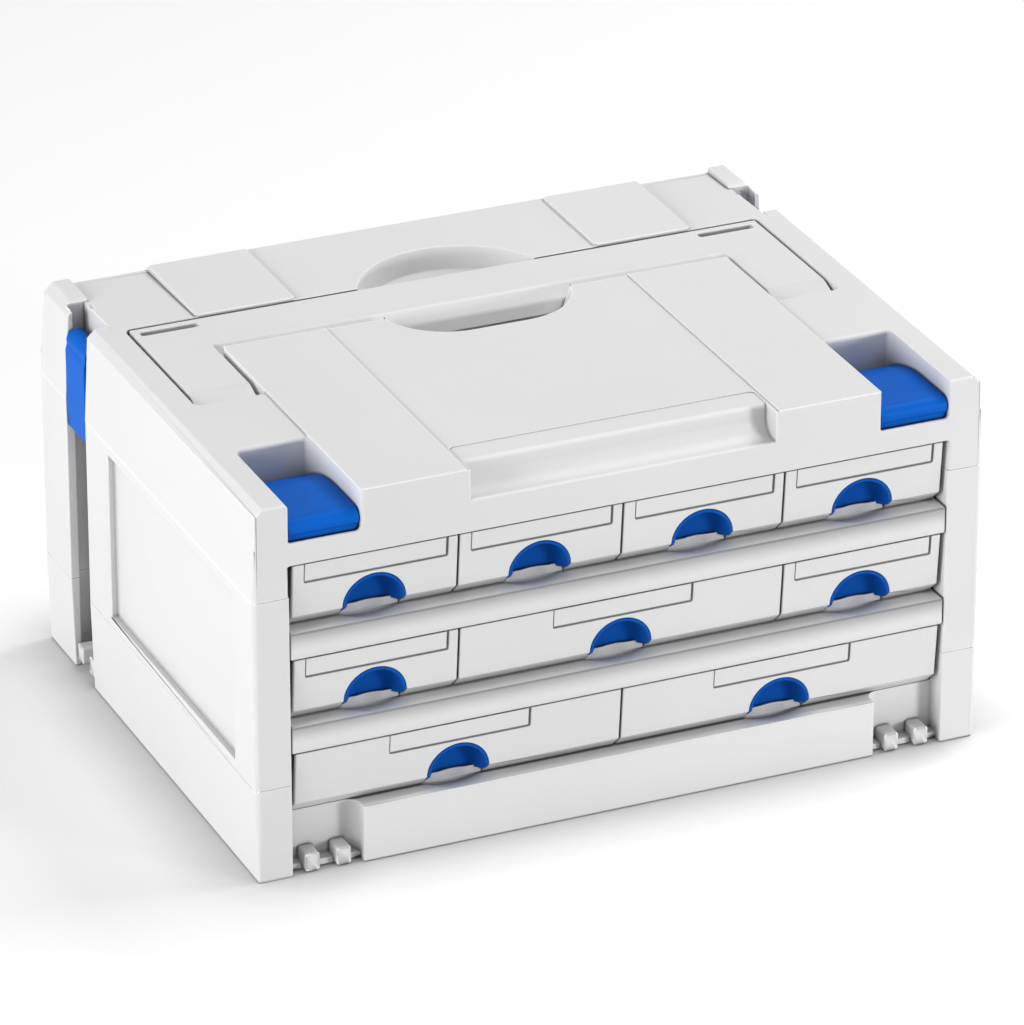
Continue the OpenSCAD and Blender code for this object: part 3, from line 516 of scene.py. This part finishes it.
def pull_rows():
    """Rows of points from the back of the pull's shell, over its rim, to the back of its hollow."""
    def shell_row(radius, depth, share, rim):
        row = []
        for x, h in arch(radius):
            least = math.asin(min(1, (face_back(h) - FACE_LINE[2][1] + rim) / depth))
            turn = least + (math.pi / 2 - least) * share
            inset = (PULL_FLAT_R + (radius - PULL_FLAT_R) * math.cos(turn)) / radius
            lift = PULL_RISE + (h - PULL_RISE) * inset if h > PULL_RISE else h
            row.append((x * inset, FACE_LINE[2][1] + depth * math.sin(turn), lift))
        return row

    def rim_row(radius, back):
        return [(x, face_back(h) + back, h) for x, h in arch(radius)]

    inner_r = PULL_R - PULL_WALL
    rows = [shell_row(PULL_R, PULL_DEPTH + PULL_WALL, 1 - i / PULL_ROWS, PULL_RIM) for i in range(PULL_ROWS)]
    quarter = [math.pi / 2 * i / RIM_STEPS for i in range(RIM_STEPS + 1)]
    for turn in quarter:
        rows.append(rim_row(PULL_R - PULL_RIM * (1 - math.cos(turn)), PULL_RIM * (1 - math.sin(turn))))
    for turn in reversed(quarter):
        rows.append(rim_row(inner_r + PULL_RIM * (1 - math.cos(turn)), PULL_RIM * (1 - math.sin(turn))))
    rows += [shell_row(inner_r, PULL_DEPTH, (i + 1) / PULL_ROWS, PULL_RIM) for i in range(PULL_ROWS)]
    return rows


def pull(node):
    """A finger pull as an even grid, so that its hollow shades smoothly."""
    low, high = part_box(node)
    middle = (low[0] + high[0]) / 2
    deck = high[2] - PULL_RISE - PULL_R
    rows = pull_rows()
    across = len(rows[0])
    points = [(middle + x, cad_box[0][1] + y, deck + h) for row in rows for x, y, h in row]
    faces = []
    for r in range(len(rows) - 1):
        for i in range(across - 1):
            a = r * across + i
            faces.append((a, a + across, a + across + 1, a + 1))
    last = (len(rows) - 1) * across
    faces.append(tuple(range(across)))
    faces.append(tuple(last + i for i in reversed(range(across))))
    left = [r * across for r in range(len(rows))]
    faces.append(tuple(reversed(left)) + tuple(a + across - 1 for a in left))
    shape = bmesh.new()
    corners = [shape.verts.new(point) for point in points]
    for face in faces:
        shape.faces.new([corners[i] for i in face]).smooth = True
    bmesh.ops.recalc_face_normals(shape, faces=shape.faces)
    for edge in sharp_edges(shape):
        edge.smooth = False
    piece = put_in_scene("skin_" + node, shape)
    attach(piece, frame["nodes"][node]["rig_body"])
    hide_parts(node)
    return piece


def hollow(node):
    """The drawer's own wall in the hollow under a pull: an upright half ellipse in plan."""
    low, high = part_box(node)
    middle = (low[0] + high[0]) / 2
    deck = high[2] - PULL_RISE - PULL_R
    rings = []
    for wall in (0, HOLLOW_WALL):
        radius, depth = PULL_R - PULL_WALL + wall, HOLLOW_DEPTH + wall
        front = cad_box[0][1] + face_back(HOLLOW_BOTTOM) + wall
        for height in (HOLLOW_BOTTOM, HOLLOW_TOP):
            ring = []
            for i in range(HOLLOW_TURNS + 1):
                turn = math.pi * i / HOLLOW_TURNS
                across, inward = radius * math.cos(turn), depth * math.sin(turn)
                y = max(cad_box[0][1] + FACE_LINE[2][1] + inward, front)
                ring.append((middle - across, y, deck + height))
            rings.append(ring)
    shape = bmesh.new()
    inner_low, inner_high, outer_low, outer_high = [[shape.verts.new(v) for v in ring] for ring in rings]
    round_wall = (inner_low, inner_high, outer_high, outer_low, inner_low)
    for a, b in zip(round_wall, round_wall[1:]):
        for i in range(HOLLOW_TURNS):
            shape.faces.new((a[i], a[i + 1], b[i + 1], b[i])).smooth = True
    for i in (0, HOLLOW_TURNS):
        shape.faces.new((inner_low[i], inner_high[i], outer_high[i], outer_low[i]))
    bmesh.ops.remove_doubles(shape, verts=shape.verts, dist=WELD)
    bmesh.ops.recalc_face_normals(shape, faces=shape.faces)
    for edge in sharp_edges(shape):
        edge.smooth = False
    piece = put_in_scene("hollow_" + node, shape)
    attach(piece, frame["nodes"][node]["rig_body"])
    piece.data.materials.append(MATERIALS["drawer"])


def dress():
    """Gives every node its skin and its plastic."""
    slots = {s["node"]: s["material_slot"] for s in frame["record"]["subparts"]}
    levels = [corner[2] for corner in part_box("middle_frame")]
    for node, source in frame["nodes"].items():
        slot = slots[node]
        piece = source
        if slot != "steel":
            piece = pull(node) if slot == "pull" else skin(node, slot, levels)
        if slot == "pull":
            hollow(node)
        piece.data.materials.clear()
        piece.data.materials.append(MATERIALS[slot])


def look_at_case(name, data, azimuth, elevation, distance):
    """A lamp or camera that looks at the case; azimuth 0 is in front, a quarter turn to the right."""
    looker = bpy.data.objects.new(name, data)
    away = Vector((math.sin(azimuth) * math.cos(elevation), -math.cos(azimuth) * math.cos(elevation),
                   math.sin(elevation)))
    looker.location = CAMERA_TARGET + away * distance
    looker.rotation_euler = away.to_track_quat("Z", "Y").to_euler()
    bpy.context.scene.collection.objects.link(looker)
    return looker


def lamp(name, power, size, azimuth, elevation):
    """A soft square lamp."""
    light = bpy.data.lights.new(name, "AREA")
    light.energy = power
    light.size = size
    look_at_case(name, light, math.radians(azimuth), math.radians(elevation), LAMP_DISTANCE)


def seen_share(nodes, links):
    """1 where the camera sees the surface, straight, mirrored or through glass, and 0 to the light."""
    path = nodes.new("ShaderNodeLightPath")
    share = path.outputs["Is Camera Ray"]
    for ray in ("Is Glossy Ray", "Is Transmission Ray"):
        share = combined(nodes, links, "MAXIMUM", share, path.outputs[ray])
    return share


def white_behind(nodes, links, other_shader):
    """A shader that is plain white to the camera, and other_shader to the light."""
    mixer = nodes.new("ShaderNodeMixShader")
    links.new(seen_share(nodes, links), mixer.inputs["Fac"])
    links.new(other_shader, mixer.inputs[1])
    white = nodes.new("ShaderNodeBackground")
    white.inputs["Color"].default_value = WHITE
    links.new(white.outputs[0], mixer.inputs[2])
    return mixer.outputs[0]


def studio():
    """A white floor that takes the lamps' shadow and a painted contact shadow, a white world and soft lamps.
    """
    scene = bpy.context.scene
    scene.view_settings.view_transform = "Standard"
    world = bpy.data.worlds.new("studio")
    scene.world = world
    world.use_nodes = True
    nodes, links = world.node_tree.nodes, world.node_tree.links
    dim = nodes["Background"]
    dim.inputs["Color"].default_value = WHITE
    dim.inputs["Strength"].default_value = AMBIENT
    links.new(white_behind(nodes, links, dim.outputs[0]), nodes["World Output"].inputs["Surface"])

    mesh = bpy.data.meshes.new("floor")
    corners = [(-FLOOR_HALF, -FLOOR_HALF, 0), (FLOOR_HALF, -FLOOR_HALF, 0),
               (FLOOR_HALF, FLOOR_HALF, 0), (-FLOOR_HALF, FLOOR_HALF, 0)]
    mesh.from_pydata(corners, [], [(0, 1, 2, 3)])
    floor = bpy.data.objects.new("floor", mesh)
    scene.collection.objects.link(floor)
    mesh.materials.append(paper())

    for name, values in LAMPS.items():
        lamp(name, *values)


def paper():
    """White paper; the camera sees it a little brighter than the light makes it, save beside the case, where
    a painted contact shadow dims that glow.
    """
    material, nodes, links, shader = new_material("paper")
    shader.inputs["Base Color"].default_value = FLOOR_COLOUR
    shader.inputs["Roughness"].default_value = FLOOR_ROUGHNESS
    shader.inputs["Emission Color"].default_value = WHITE
    glow = spread(nodes, links, seen_share(nodes, links), 0, FLOOR_GLOW)
    # Painted contact shadow: ambient occlusion from the case dims the floor's glow beside it
    clear = openness(nodes, links, CONTACT_SHADOW_REACH, False, CONTACT_SHADOW_SEEN, 0)
    links.new(combined(nodes, links, "MULTIPLY", glow, clear), shader.inputs["Emission Strength"])
    return material


def camera():
    """The photograph's camera."""
    data = bpy.data.cameras.new("camera")
    data.lens = FOCAL_PIXELS * SENSOR / IMAGE_SIDE
    data.sensor_width = SENSOR
    data.clip_end = CLIP_END
    eye = look_at_case("camera", data, CAMERA_AZIMUTH, CAMERA_ELEVATION, CAMERA_DISTANCE)
    bpy.context.scene.camera = eye


camera()
dress()
studio()
